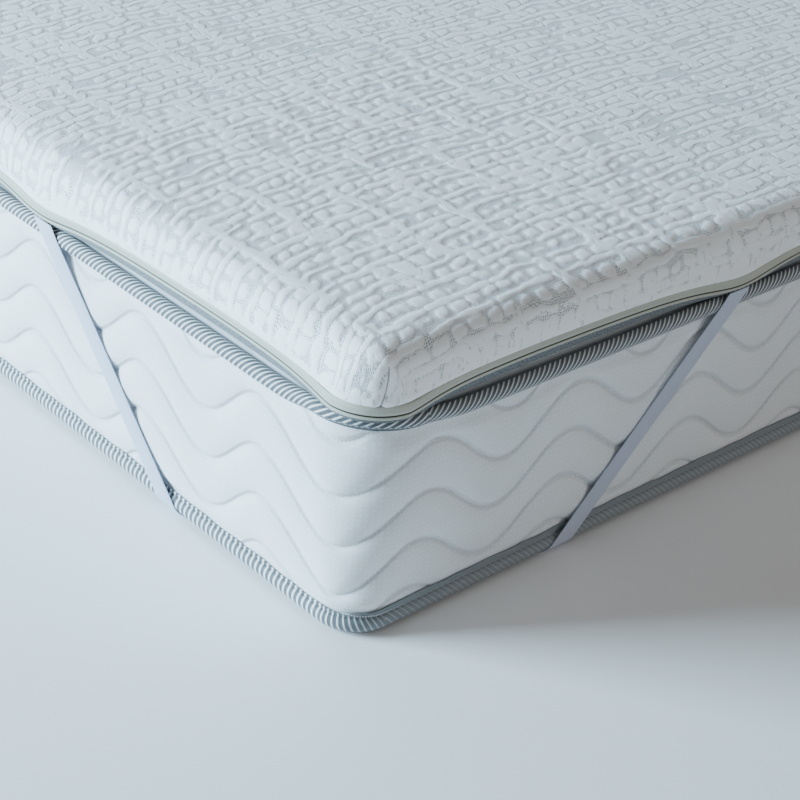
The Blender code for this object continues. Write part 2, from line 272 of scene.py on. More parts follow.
def new_cloth(name, roughness, sheen):
    """A woven or knitted fibre: no metal, IOR 1.5, with a soft fuzz sheen.

    Returns the material, its node tree and the node with u and v in metres.
    """
    material = bpy.data.materials.new(name)
    material.use_nodes = True
    tree = material.node_tree
    fibre = {"Roughness": roughness, "IOR": 1.5, "Specular IOR Level": 0.25}
    fuzz = {"Sheen Weight": sheen, "Sheen Roughness": 0.6}
    for setting, value in {**fibre, **fuzz}.items():
        tree.nodes["Principled BSDF"].inputs[setting].default_value = value
    return material, tree, add(tree, "UVMap", uv_map="cloth")


def finish_cloth(tree, colour, height, depth):
    """Links the colour, and the height pattern as a bump depth metres deep."""
    shader = tree.nodes["Principled BSDF"]
    bump = add(tree, "Bump", {"Height": height, "Strength": 1.0, "Distance": depth})
    tree.links.new(colour, shader.inputs["Base Color"])
    tree.links.new(bump.outputs[0], shader.inputs["Normal"])


# Polyester knit: matt and white, with pin dots 5 mm apart that catch the
# light, and stitches 3.2 mm long along the quilting. Each MapRange lists its
# value, then where that gives 0, and where it gives 1.
dotted_knit, tree, cloth = new_cloth("dotted_polyester_knit", roughness=0.85, sheen=0.25)
dots = add(
    tree, "TexVoronoi",
    {"Vector": cloth, "Scale": 1 / DOT_PITCH, "Randomness": 0.35},
    voronoi_dimensions="2D",
)
dot = add(tree, "MapRange", [dots, 0.24, 0.10], interpolation_type="SMOOTHSTEP")
row = add(tree, "Attribute", attribute_name="quilt_row").outputs["Fac"]
off_line = add(tree, "Math", [row, 0.5], operation="PINGPONG")
on_line = add(tree, "MapRange", [off_line, 0.0010 / WAVE_PITCH, 0.0003 / WAVE_PITCH])
groove = add(tree, "MapRange", [off_line, 0.0040 / WAVE_PITCH, 0.0])
along = add(tree, "SeparateXYZ", [cloth])
stitch_turn = add(tree, "Math", [along, 1 / STITCH_LENGTH], operation="MULTIPLY")
stitch_part = add(tree, "Math", [stitch_turn], operation="FRACT")
stitch = add(tree, "MapRange", [stitch_part, 0.25, 0.45])
fine = add(tree, "TexNoise", {"Vector": cloth, "Scale": 900.0, "Detail": 2.0}, noise_dimensions="2D")
dotted = add(tree, "Mix", {0: dot, 6: linear("E3E7EA"), 7: linear("F4F6F7")}, data_type="RGBA")
# Beside each quilted line the colour darkens: painted shade in the groove that the bump sinks.
painted_groove_shade = add(tree, "Math", [groove, GROOVE_PAINTED_SHADE], operation="MULTIPLY")
with_groove_shade = add(tree, "Mix", {0: painted_groove_shade, 6: dotted, 7: linear("A4ACB2")}, data_type="RGBA")
thread = add(tree, "Mix", {0: stitch, 6: linear("B9C0C5"), 7: linear("F4F6F7")}, data_type="RGBA")
line_share = add(tree, "Math", [on_line, THREAD_SHOWN], operation="MULTIPLY")
quilted = add(tree, "Mix", {0: line_share, 6: with_groove_shade, 7: thread}, data_type="RGBA")
# The panel lies under the topper's hem, and its colour is painted greyer than
# the border's: painted shade under the hem.
shaded_panel = add(tree, "Attribute", attribute_name="panel").outputs["Fac"]
colour = add(tree, "Mix", {0: shaded_panel, 6: quilted, 7: linear("C6CCD1")}, data_type="RGBA")
# In units of the bump's 0.3 mm a dot stands 0.2 high and a groove sinks 6.
raised_dot = add(tree, "Math", [dot, 0.2, fine], operation="MULTIPLY_ADD")
sunk = add(tree, "Math", [groove, -6.0, raised_dot], operation="MULTIPLY_ADD")
finish_cloth(tree, colour.outputs[2], sunk, 0.0003)

edge = Edge(fine=0.0030, coarse=0.0095)
wave_length = edge.total / WAVE_COUNT


def wave(run):
    """The stitched wave, from 1 at a crest to -1 at a trough."""
    phase = ((run - WAVE_CREST) / wave_length) % 1.0
    falling = phase / WAVE_FALL
    rising = 1 + (phase - WAVE_FALL) / (1 - WAVE_FALL)
    return np.cos(math.pi * np.where(phase < WAVE_FALL, falling, rising))


def puff_at(run, height):
    """How far the quilted cloth stands up, and its place in the wave rows."""
    row = (height - WAVE_LOWEST - WAVE_SWING * wave(run)) / WAVE_PITCH
    slope = WAVE_SWING * (wave(run + 1e-4) - wave(run - 1e-4)) / 2e-4
    away = np.abs(row - np.round(row)) * WAVE_PITCH / np.hypot(1, slope)
    rise = PUFF * (1 - np.exp(-away / PUFF_REACH)) + SWELL * smooth(away, 0, SWELL_REACH)
    return rise, row


wall = np.linspace(WALL_FOOT, BORDER_TOP, WALL_ROWS)
rest_heights = [WALL_FOOT, 0.026, 0.060, 0.110, 0.160, 0.192, BORDER_TOP]
rest_outsets = [-0.0010, -0.0010, -0.0003, 0.0004, -0.0002, -0.0012, -0.0010]
wall_rest = np.interp(wall, rest_heights, rest_outsets)
run = edge.run[:, None]
rise, quilt_row = puff_at(run, wall[None, :])
rise *= smooth(wall, 0.022, 0.034) * (1 - smooth(wall, 0.190, 0.204))
ledge = TAPE_OUTSET - TAPE_RADIUS - 0.0005  # just behind the tapes
lift = edge.lift()[:, None]
below = [(-0.1000, 0.0), (-0.0180, 0.0), (ledge, 0.0030), (ledge, 0.0184)]
# The panel's padded edge: outset and height where it is free, then where the
# topper's hem presses it down, how much of the corner's lift it gets, and how
# deep the two creases are that show in it beside the near corner.
above = [
    (ledge, BORDER_TOP + 0.0002, ledge, BORDER_TOP + 0.0002, 1.0, 0.0),
    (ledge, 0.2182, ledge, 0.2182, 1.0, 0.0),
    (-0.0120, 0.2204, -0.0145, 0.2200, 0.7, 0.0010),
    (-0.0100, 0.2230, -0.0160, 0.2218, 0.5, 0.0030),
    (-0.0078, 0.2258, -0.0175, 0.2232, 0.35, 0.0036),
    (-0.0076, 0.2283, -0.0205, 0.2248, 0.25, 0.0032),
    (-0.0112, 0.2303, -0.0250, 0.2268, 0.10, 0.0010),
    (-0.0200, 0.2311, -0.0300, 0.2284, 0.0, 0.0),
    (-0.0400, 0.2314, -0.0450, 0.2303, 0.0, 0.0),
    (-0.0800, PANEL_TOP, -0.0800, PANEL_TOP, 0.0, 0.0),
]
pull = pull_round(edge)
near = edge.near[:, None]
crease = sum(np.exp(-(((near - place) / width) ** 2)) for place, width in CREASES)
below_o, below_z = np.array(below).T
above_o, above_z = drawn_down(above, pull)
lifted, creased = np.array(above).T[4:]
wall_z = wall + lift * smooth(wall, 0.185, BORDER_TOP)
outset = np.hstack([below_o + 0 * run, wall_rest + rise, above_o - creased * crease])
height = np.hstack([below_z + 0 * run, wall_z, above_z + lift * lifted])
wall_start, wall_end = len(below), len(below) + WALL_ROWS
rows_field = np.full_like(height, 0.5)
rows_field[:, wall_start:wall_end] = quilt_row
# 1 on the panel, whose colour is painted greyer as painted shade under the hem.
shaded_panel_field = np.zeros_like(height)
shaded_panel_field[:, wall_end:] = 1.0
travel = np.cumsum(np.hypot(np.diff(outset, prepend=0), np.diff(height, prepend=0)), 1)
mattress = carry_round(
    "mattress_quilted", edge, outset, height, radius=border_radius(height) + outset,
    u=run + 0 * height, v=travel, material=dotted_knit, closed=False,
    fields={"quilt_row": rows_field, "panel": shaded_panel_field},
)
# Four shallow channels underneath leave room for the straps.
for x_sign, y_sign in CORNERS.values():
    bm = bmesh.new()
    bmesh.ops.create_cube(bm, size=1.0)
    channel_mesh = bpy.data.meshes.new("channel")
    bm.to_mesh(channel_mesh)
    bm.free()
    channel = put_in_scene("channel", channel_mesh)
    inward = UNDER_RUN / 2
    channel.matrix_world = (
        Matrix.Translation((x_sign * (WIDTH / 2 - inward), y_sign * (LENGTH / 2 - inward), 0))
        @ Matrix.Rotation(-x_sign * y_sign * math.pi / 4, 4, "Z")
        @ Matrix.Diagonal((CHANNEL_LENGTH, CHANNEL_WIDTH, 2 * CHANNEL_DEPTH, 1.0))
    )
    carve = mattress.modifiers.new("channel", "BOOLEAN")
    carve.operation, carve.solver, carve.object = "DIFFERENCE", "EXACT", channel
    bpy.context.view_layer.update()
    carved = bpy.data.meshes.new_from_object(
        mattress.evaluated_get(bpy.context.evaluated_depsgraph_get())
    )
    mattress.modifiers.clear()
    mattress.data = carved
    bpy.data.objects.remove(channel)
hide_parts("mattress_body")
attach(mattress, "root")

# ---- The binding tapes ----
# Striped woven tape, sewn over a soft piping round the mattress's top and
# bottom edges. Its flat selvedge shows where the roll twists at a corner.

STRIPE_PITCH = 0.0068  # measured on both tapes
RIB_BLUR = 0.09  # half the soft edge of a rib, as a share of the pitch
SEAM_PLACE, SEAM_STITCH = -0.0009, 0.0036
ROLL_STEPS = 22

tape_edge = Edge(fine=0.0022, coarse=0.0090)


def thin_line(tree, value, place, inner, outer, strength):
    """Gives strength within inner of a place in value, and 0 beyond outer."""
    past = add(tree, "Math", [value, place], operation="SUBTRACT")
    away = add(tree, "Math", [past], operation="ABSOLUTE")
    return add(tree, "MapRange", [away, outer, inner, 0.0, strength])


def new_tape(name, white, grey):
    """Polyester twill: raised white ribs in a grey ground, faintly shiny."""
    material, tree, cloth = new_cloth(name, roughness=0.55, sheen=0.10)
    along, across, _ = add(tree, "SeparateXYZ", [cloth]).outputs
    turns = add(tree, "Math", [along, 1 / STRIPE_PITCH, 0.5], operation="MULTIPLY_ADD")
    away = add(tree, "Math", [turns, 0.5], operation="PINGPONG")
    share = add(tree, "Attribute", attribute_name="rib_share").outputs["Fac"]
    low = add(tree, "Math", [share, RIB_BLUR], operation="SUBTRACT")
    high = add(tree, "Math", [share, RIB_BLUR], operation="ADD")
    rib = add(tree, "MapRange", [away, high, low])
    # The ribs run from 0 in v to the far selvedge, which lies at rib_end.
    start = add(tree, "MapRange", [across, -0.0002, 0.0006])
    last = add(tree, "Attribute", attribute_name="rib_end").outputs["Fac"]
    left = add(tree, "Math", [last, across], operation="SUBTRACT")
    end = add(tree, "MapRange", [left, 0.0, 0.0010])
    strength = add(tree, "Attribute", attribute_name="rib_strength").outputs["Fac"]
    woven = add(tree, "Math", [start, end], operation="MULTIPLY")
    shown = add(tree, "Math", [woven, strength], operation="MULTIPLY")
    ribbed = add(tree, "Math", [rib, shown], operation="MULTIPLY")
    seam = thin_line(tree, across, SEAM_PLACE, 0.0003, 0.0007, 0.8)
    dash_turns = add(tree, "Math", [along, 1 / SEAM_STITCH], operation="MULTIPLY")
    dash_part = add(tree, "Math", [dash_turns], operation="FRACT")
    dash = add(tree, "MapRange", [dash_part, 0.30, 0.45])
    stitch = add(tree, "Math", [seam, dash], operation="MULTIPLY")
    white_part = add(tree, "Math", [ribbed, stitch], operation="MAXIMUM")
    yarn = add(tree, "TexNoise", {"Vector": cloth, "Scale": 1400.0, "Detail": 3.0}, noise_dimensions="2D")
    ground = add(tree, "Mix", {0: yarn, 6: linear(grey[0]), 7: linear(grey[1])}, data_type="RGBA")
    # Where the ribs fade, on the right face, the ground is mixed to a lighter grey:
    # partly their white yarn lying in it, partly painted light on that face.
    faded_and_lit = add(tree, "Math", [1.0, strength], operation="SUBTRACT")
    ground_with_painted_light = add(tree, "Mix", {0: faded_and_lit, 6: ground, 7: linear("8B9398")}, data_type="RGBA")
    colour = add(tree, "Mix", {0: white_part, 6: ground_with_painted_light, 7: linear(white)}, data_type="RGBA")
    grain = add(tree, "Math", [yarn, 0.25, white_part], operation="MULTIPLY_ADD")
    finish_cloth(tree, colour.outputs[2], grain, 0.0007)
    return material


def roll(first, last, centre, radius):
    """The tape's round part between two angles, as outset and height."""
    turn = np.radians(np.linspace(first, last, ROLL_STEPS))[None, :]
    return TAPE_OUTSET + radius * np.cos(turn), centre + radius * np.sin(turn), turn


near = tape_edge.near[:, None]
level = 0 * near
# 1 on the face right of the near corner, where the ribs slant more and the
# tape's ground is painted lighter, as painted light.
on_right = smooth(near, -0.10, 0.04) * (near < 1.2)

top_twill = new_tape("striped_twill_tape", "F2F5F7", ("464B50", "5B6167"))
at_corner = tape_edge.lift()[:, None] / CORNER_LIFT
centre = TOP_TAPE_HEIGHT + 0.0052 * at_corner
radius = TAPE_RADIUS - 0.0015 * at_corner
# Left of the near corner the top tape is twisted, and its selvedge shows.
twist = 0.0030 * smooth(near, -0.240, -0.110) + 0.0050 * smooth(near, -0.110, -0.050)
twist = twist * (1 - smooth(near, -0.035, 0.030)) * (np.abs(near) < 0.4)
around, high, turn = roll(-70, 250, centre, radius)
foot = centre - radius
outset = np.hstack([around, level - 0.0006, level - 0.0005, level + 0.0004, level + 0.0006])
height = np.hstack([high, foot + 0.0001, foot - 0.0004, foot - 0.0006, foot - 0.0001])
up = (np.radians(70) + turn) * TAPE_RADIUS + level
v = np.hstack([up, up[:, -1:] + 0.004, level - 0.0014, level - 0.0012, level - 0.0010])
# u leans with v, so that the ribs slant, and more so on the right.
u = tape_edge.run[:, None] - (0.75 + 0.45 * on_right) * v
blank = 0 * height
ribs = {
    "rib_share": blank + 0.170 - 0.015 * on_right,
    "rib_end": blank + 0.027 - 0.0037 * on_right,
    "rib_strength": blank + 1.0 - 0.15 * on_right,
}
tape_top = carry_round(
    "binding_tape_top", tape_edge, outset, height, radius=TOP_CORNER_RADIUS + outset,
    u=u, v=v - twist, material=top_twill, fields=ribs,
)

low_twill = new_tape("striped_twill_tape_low", "E6EBEE", ("4C5257", "60676C"))
wobble = 0.0006 * np.sin(near * 61) + 0.0005 * np.sin(near * 143 + 1.0)
# The selvedge stands up past the roll, higher on the right.
flap = 0.0012 + 0.0042 * on_right + wobble * smooth(np.abs(near), 0.0, 0.1)
around, low, turn = roll(75, -250, BOTTOM_TAPE_HEIGHT + level, TAPE_RADIUS + level)
foot = BOTTOM_TAPE_HEIGHT + TAPE_RADIUS
outset = np.hstack([around, level - 0.0002, level + 0.0002, level + 0.0015, level + 0.0016])
flap_top = foot + 0.0012 + flap
height = np.hstack([low, level + foot - 0.0002, flap_top, flap_top - 0.0002, level + foot])
down = (np.radians(75) - turn) * TAPE_RADIUS + level
# On the -Y face the ribs run on over the selvedge, nearly to its edge.
rib_over = 0.0042 * (1 - on_right)
over = rib_over - flap
v = np.hstack([down, down[:, -1:] + 0.004, over - 0.0016, over - 0.0014, rib_over - 0.0010])
u = tape_edge.run[:, None] - (0.10 + 0.80 * on_right) * v
ribs = {
    "rib_share": blank + 0.19 - 0.11 * on_right,
    "rib_end": blank + 1.0,
    "rib_strength": blank + 1.0 - 0.72 * on_right,
}
tape_bottom = carry_round(
    "binding_tape_bottom", tape_edge, outset, height, radius=CORNER_RADIUS + outset,
    u=u, v=v, material=low_twill, fields=ribs,
)
for tape, node in ((tape_top, "tape_top"), (tape_bottom, "tape_bottom")):
    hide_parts(node)
    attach(tape, "root")

# ---- The topper's base panel ----
# A thin grey melange jersey under the foam. Its rim turns up to the zip, and
# shows as a speckled band above the mattress.

HEM_HEIGHT, HEM_DROP, HEM_SPREAD = 0.2451, 0.0140, 0.0055
HEM_RADIUS = 0.048
HEM_SHIFT = 0.007  # the mean corner's radius is this much more than the hem's
ZIP_INNER = -0.0015
ZIP_BELOW, ZIP_ABOVE, ZIP_SHOWN = 0.0042, 0.0080, 0.0030
BASE_BOTTOM, BASE_THICKNESS = PANEL_TOP + 0.0003, 0.0015
RIM_INSET = 0.0040  # the rim ends this far below the zip's line
FLAT_OUTSET = -0.0900  # where the panel's edge goes over into its flat middle

# Cotton and polyester jersey: matt, grey with light and dark flecks of about
# 1 mm, drawn a little coarse so that they show.
jersey, tree, cloth = new_cloth("grey_melange_jersey", roughness=0.9, sheen=0.2)
flecks = add(
    tree, "TexNoise",
    {"Vector": cloth, "Scale": 620.0, "Detail": 4.0, "Roughness": 0.7},
    noise_dimensions="2D",
)
ramp = add(tree, "ValToRGB", [flecks])
ramp.color_ramp.elements[0].position = 0.36
ramp.color_ramp.elements[0].color = linear("3F4448")
ramp.color_ramp.elements[1].position = 0.66
ramp.color_ramp.elements[1].color = linear("82888C")
finish_cloth(tree, ramp.outputs[0], flecks, 0.0003)

hem_edge = Edge(fine=0.0045, coarse=0.0110)
pull = pull_round(hem_edge, HEM_SHIFT)
hem_height = HEM_HEIGHT - HEM_DROP * pull
rim = ZIP_INNER + HEM_SPREAD * pull - 0.0005
rim_back = rim - BASE_THICKNESS
# The panel's edge below and above, from its flat middle to the rim and back:
# outset and height where it hangs free, then the same where a strap pulls it.
below = [
    (FLAT_OUTSET, 0.2319, FLAT_OUTSET, 0.2319),
    (-0.0450, 0.2318, -0.0450, 0.2309),
    (-0.0300, 0.2317, -0.0300, 0.2293),
    (-0.0150, 0.2315, -0.0100, 0.2258),
    (-0.0095, 0.2311, 0.0000, 0.2247),
    (-0.0044, 0.2309, 0.0023, 0.2242),
    (-0.0033, 0.2311, 0.0033, 0.2251),
    (-0.0028, 0.2320, 0.0035, 0.2265),
]
above = [
    (-0.0045, 0.2334, 0.0020, 0.2266),
    (-0.0092, 0.2330, -0.0016, 0.2263),
    (-0.0155, 0.2331, -0.0105, 0.2273),
    (-0.0300, 0.2333, -0.0300, 0.2308),
    (-0.0450, 0.2334, -0.0450, 0.2324),
    (FLAT_OUTSET, 0.2334, FLAT_OUTSET, 0.2334),
]
under_o, under_z = drawn_down(below, pull)
over_o, over_z = drawn_down(above, pull)
outset = np.hstack([under_o, rim, rim_back, over_o])
rim_top = hem_height - RIM_INSET
height = np.hstack([under_z, rim_top, rim_top, over_z])
out_step = np.diff(outset, prepend=FLAT_OUTSET)
travel = np.cumsum(np.hypot(out_step, np.diff(height, prepend=BASE_BOTTOM)), 1)
base = carry_round(
    "topper_base_panel", hem_edge, outset, height, radius=HEM_RADIUS + outset,
    u=hem_edge.run[:, None] + 0 * height, v=travel, material=jersey, closed=False,
)
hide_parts("topper_base")
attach(base, "root")

# ---- The foam pad in its cover ----
# A foam slab about 7 cm thick in a white double-knit cover. Smooth padded
# bars and small squares stand up from an open, dotted net ground, and one
# dart at each corner takes in the fullness.

PAD_TOP = 0.3036
PAD_HEM_RADIUS, PAD_TOP_RADIUS = HEM_RADIUS, 0.024
INSET = 0.034  # where the rounded edge gives way to the flat top
RELIEF = 0.0009  # how far the pads stand up
MESH_RELIEF_SHARE = 0.55  # taken from the bump where the mesh carries the relief
KNIT_ROW = 0.0140  # a row's mean width; every second row is of long bars
KNIT_PAD, KNIT_BAR = 0.0215, 0.0850  # the length of a small pad and of a bar
ROW_SHIFT = 0.0087  # each row starts this much after the one beside it
ROW_UNEVEN = 0.0015  # makes the rows of bars narrower, and those of pads wider
RISE_OVER = 0.70  # the share of a half row in which the knit rises
PAD_GAP = 0.10  # the small pads lie this much farther apart, in half rows
CROSSING, CROSS_HALF = 0.0740, 0.0048
SMOOTHED = 1.4  # taken from the gap where the knit is stretched smooth
# Each waver of the knit is how far it goes, over what length, and a seed.
ACROSS_WAVERS = ((0.0075, 0.026, 5), (0.0100, 0.12, 6), (0.0038, 0.012, 12))
ALONG_WAVERS = ((0.0120, 0.025, 7), (0.018, 0.10, 8))
FINE_STEP, COARSE_STEP, FINE_REACH = 0.0028, 0.0140, 0.44
CARRIED_STEP, LOST_STEP = 0.0040, 0.0065  # grid steps that do and don't carry it
EDGE_ROWS = 26
CORNER_EASE = 0.040  # the length in which the rings take up a corner's arc
DART_APEX, DART_FOOT = 0.2850, 0.236
NO_DART = 0.05  # a distance that stands for no dart nearby
NET_PITCH = 0.0022


def soft_noise(x, y, size, seed):
    """Smooth random values from 0 to 1 with patches about size across."""
    table = np.random.default_rng(seed).random((64, 64))
    a, b = x / size, y / size
    i, j = np.floor(a).astype(int), np.floor(b).astype(int)
    s, t = smooth(a - i, 0, 1), smooth(b - j, 0, 1)
    first = table[i % 64, j % 64] * (1 - t) + table[i % 64, (j + 1) % 64] * t
    second = table[(i + 1) % 64, j % 64] * (1 - t) + table[(i + 1) % 64, (j + 1) % 64] * t
    return first * (1 - s) + second * s


def knit_place(x, y):
    """Distances along and across the knit's rows at unrolled cloth x, y.

    The rows run along Y, a little askew near the -Y face, and waver.
    """
    inward = np.maximum(y + LENGTH / 2, 0)
    askew = 0.09 * inward * np.exp(-inward / 1.1) + 0.017 * (1 - np.exp(-inward / 0.08))
    waver = sum(far * soft_noise(x, y, size, seed) for far, size, seed in ACROSS_WAVERS)
    drift = sum(far * soft_noise(x, y, size, seed) for far, size, seed in ALONG_WAVERS)
    # The 3 m keep both positive all over the cloth.
    return y + drift + 3.0, x + askew + waver + 3.0


def knit_fields(x, y, plain):
    """Where the knit is at unrolled cloth x, y, its gaps and its height.

    gap is the share of a half row that lies bare round each bar, and PAD_GAP
    comes on top of it round a small pad. Below 0 they grow together, and near
    1 they are missing.
    """
    along, across = knit_place(x, y)
    uneven = across + ROW_UNEVEN * np.sin(math.pi * (across / KNIT_ROW - 0.5))
    row = np.floor(uneven / KNIT_ROW)
    is_pad = row % 2 == 1
    length = np.where(is_pad, KNIT_PAD, KNIT_BAR)
    shifted = along + row * ROW_SHIFT
    on, over = shifted % length, uneven - row * KNIT_ROW
    off_end = 1 - np.minimum(np.minimum(on, length - on) * 2 / KNIT_ROW, 1)
    off_side = 1 - np.minimum(over, KNIT_ROW - over) * 2 / KNIT_ROW
    inside = 1 - np.hypot(off_end, off_side)
    chance = np.random.default_rng(9).random((64, 64))
    cell = chance[row.astype(int) % 64, np.floor(shifted / length).astype(int) % 64]
    missing = (cell < 0.07) & is_pad
    bare = smooth(soft_noise(x, y, 0.038, 4), 0.74, 0.90)
    merged = smooth(soft_noise(x, y, 0.021, 11), 0.70, 0.88)
    off_cross = np.abs((along / CROSSING - 0.19) % 1 - 0.5) * CROSSING
    crossing = 1 - smooth(off_cross, CROSS_HALF - 0.002, CROSS_HALF + 0.003)
    unbroken = smooth(soft_noise(x, y, 0.040, 10), 0.40, 0.52)
    gap = -0.08 + 0.60 * (soft_noise(x, y, 0.015, 3) - 0.5) + 0.20 * (cell - 0.5)
    gap = gap + 0.50 * (soft_noise(x, y, 0.0075, 2) - 0.5)
    gap = gap + 0.60 * missing + 0.40 * bare - 0.35 * merged - 0.80 * crossing * unbroken
    gap = gap * (1 - plain) - SMOOTHED * plain
    start = gap + PAD_GAP * is_pad
    return along, across, gap, smooth(inside, start - 0.10, start + RISE_OVER + 0.10)


def lines(length):
    """Places of the flat top's grid lines, close near the photographed corner."""
    forward = spread(length, graded(FINE_STEP, COARSE_STEP, FINE_REACH))
    far_end = length - np.array([0.008, 0.017, 0.027])
    return np.sort(np.concatenate([forward, far_end]))


half_x, half_y = WIDTH / 2 - INSET, LENGTH / 2 - INSET
grid_x = half_x - lines(2 * half_x)
grid_y = -half_y + lines(2 * half_y)
nx, ny = len(grid_x), len(grid_y)


def crown_drop(distance):
    """How far the top has come down at a distance from the topper's face."""
    places = [INSET, 0.060, 0.100, 0.170, 0.250]
    return np.interp(distance, places, [0.0052, 0.0036, 0.0022, 0.0007, 0.0])


flat_x, flat_y = np.meshgrid(grid_x, grid_y, indexing="ij")
drop_x = crown_drop(WIDTH / 2 - np.abs(flat_x))
drop_y = crown_drop(LENGTH / 2 - np.abs(flat_y))
flat_z = PAD_TOP - RELIEF - (drop_x**3 + drop_y**3) ** (1 / 3)
# Foam is never quite flat.
flat_z += 0.0006 * np.sin(flat_x * 17 + 1) * np.sin(flat_y * 13 + 2)

# Where the grid is too coarse to carry the relief, the shader alone does.
coarse = np.maximum(np.abs(np.gradient(grid_x))[:, None], np.abs(np.gradient(grid_y))[None, :])
carried = 1 - smooth(coarse, CARRIED_STEP, LOST_STEP)
*flat_knit, flat_raised = knit_fields(flat_x, flat_y, 0 * flat_x)
flat_raised = 0.5 + (flat_raised - 0.5) * carried
top_points = np.stack([flat_x, flat_y, flat_z + RELIEF * flat_raised], -1)

# The edge: rings that leave the grid's border, round over and go down.
index = np.arange(nx * ny).reshape(nx, ny)
border = np.concatenate([index[0, :-1], index[:-1, -1], index[-1, :0:-1], index[:0:-1, 0]])
side = np.repeat([0, 1, 2, 3], [ny - 1, nx - 1, ny - 1, nx - 1])
from_x, from_y = flat_x.ravel()[border], flat_y.ravel()[border]
side_length = np.where(side % 2 == 0, 2 * half_y, 2 * half_x)
travelled = np.choose(side, [half_y + from_y, half_x - from_x, half_y - from_y, half_x + from_x])
from_far = side_length - travelled
first_half = travelled <= from_far
t = np.minimum(travelled, from_far)[:, None]


def place(outset, radius):
    """x, y, outward angle and signed arc distance of the edge's points."""
    c = INSET + outset - radius + radius * math.pi / 4
    s = t + c * (1 - np.exp(-t / CORNER_EASE))
    on_arc = s < radius * math.pi / 4
    bend = np.where(on_arc, math.pi / 4 - s / np.maximum(radius, 1e-6), 0.0)
    q = np.where(on_arc, radius * (1 - np.sin(bend)), radius + s - radius * math.pi / 4)
    half = np.where(side % 2 == 0, LENGTH, WIDTH)[:, None] / 2 + outset
    reach = np.where(side % 2 == 0, WIDTH, LENGTH)[:, None] / 2 + outset
    out = np.where(on_arc, reach - radius * (1 - np.cos(bend)), reach)
    sign = np.where(first_half, 1.0, -1.0)[:, None]
    along = -sign * (half - q)
    quarter = side[:, None] * math.pi / 2
    x = out * np.cos(quarter) - along * np.sin(quarter)
    y = out * np.sin(quarter) + along * np.cos(quarter)
    return x, y, quarter - sign * bend, sign * s


sharp = np.minimum(travelled, from_far) + INSET
pull = pull_at(sharp, np.where(side % 2 == 0, LENGTH, WIDTH) - sharp)[:, None]
hem_line = HEM_HEIGHT - HEM_DROP * pull
inner = ZIP_INNER + HEM_SPREAD * pull
zip_top = hem_line + ZIP_ABOVE + ZIP_SHOWN * pull
# The edge's section, from the flat top down to the zip, then rounded twice.
profile = [
    (-INSET, PAD_TOP - 0.0052 - RELIEF),
    (-0.0225, PAD_TOP - 0.0065 - RELIEF),
    (-0.0135, PAD_TOP - 0.0090 - RELIEF),
    (-0.0064, PAD_TOP - 0.0142 - RELIEF),
    (-0.0016, PAD_TOP - 0.0220),
    (0.0010 + 0.0005 * pull, PAD_TOP - 0.0315),
    (0.0020 + 0.0020 * pull, zip_top + 0.0075),
    (inner + 0.0024, zip_top + 0.0020),
    (inner + 0.0014, zip_top + 0.0003),
]


def columns(rows):
    """The outsets and the heights in rows, at each place round the topper."""
    return [np.hstack([value + 0 * pull for value in part]) for part in zip(*rows)]


curve = np.stack(columns(profile), -1)
for _ in range(2):
    quarter_way = 0.75 * curve[:, :-1] + 0.25 * curve[:, 1:]
    most_way = 0.25 * curve[:, :-1] + 0.75 * curve[:, 1:]
    rounded = np.stack([quarter_way, most_way], 2).reshape(len(curve), -1, 2)
    curve = np.concatenate([curve[:, :1], rounded, curve[:, -1:]], 1)
steps = np.hypot(*np.moveaxis(np.diff(curve, axis=1), -1, 0))
distance = np.concatenate([np.zeros((len(curve), 1)), np.cumsum(steps, 1)], 1)
arc = distance[:, -1:] * np.linspace(0, 1, EDGE_ROWS)
side_o = np.stack([np.interp(a, d, c[:, 0]) for a, d, c in zip(arc, distance, curve)])
side_z = np.stack([np.interp(a, d, c[:, 1]) for a, d, c in zip(arc, distance, curve)])
out_way = np.gradient(side_z, axis=1)
up_way = -np.gradient(side_o, axis=1)
size = np.hypot(out_way, up_way)
normal_o, normal_z = -out_way / size, -up_way / size


def pad_radius(height):
    part = np.clip((height - HEM_HEIGHT) / (PAD_TOP - HEM_HEIGHT), 0, 1)
    return PAD_HEM_RADIUS + (PAD_TOP_RADIUS - PAD_HEM_RADIUS) * part


base_radius = np.maximum(pad_radius(side_z) + side_o, 0.0)
_, _, angle, _ = place(0 * pull + 0.002, 0 * pull + HEM_RADIUS)
cloth_x = from_x[:, None] + np.cos(angle) * arc
cloth_y = from_y[:, None] + np.sin(angle) * arc
facing_x = np.cos(angle) ** 2
# On the +X and -X faces the pads are drawn together, on the others they are
# drawn a little apart, and next to the zip the knit is stretched smooth.
plain = np.maximum(
    (0.52 * facing_x - 0.20) * smooth(arc, 0.014, 0.062),
    1 - smooth(side_z - zip_top, 0.002, 0.010),
)
*side_knit, raised = knit_fields(cloth_x, cloth_y, plain)
side_step = np.hypot(np.diff(from_x, append=from_x[0]), np.diff(from_y, append=from_y[0]))
side_carried = (1 - smooth(side_step, CARRIED_STEP, LOST_STEP))[:, None] + 0 * arc
raised = 0.5 + (raised - 0.5) * side_carried
_, _, _, corner_run = place(side_o, base_radius)
# The dart leans: it starts 6 degrees past the corner and ends 26 past it.
lean = np.interp(side_z, [DART_FOOT, DART_APEX], [0.11, 0.46])
from_dart = corner_run - lean * base_radius
on_dart = smooth(DART_APEX - side_z, 0.0, 0.006)
sunk_seam = -0.0017 * np.exp(-((from_dart / 0.0018) ** 2))
seam_sides = 0.0010 * np.exp(-(((np.abs(from_dart) - 0.0065) / 0.0040) ** 2))
peak = 0.0026 * np.exp(-((from_dart / 0.006) ** 2) - ((side_z - 0.002 - DART_APEX) / 0.005) ** 2)
push = RELIEF * raised + (sunk_seam + seam_sides) * on_dart + peak
push[:, 0] = 0.0
ring_o, ring_z = side_o + normal_o * push, side_z + normal_z * push
ring_x, ring_y, _, _ = place(ring_o, np.maximum(base_radius + normal_o * push, 0.0))

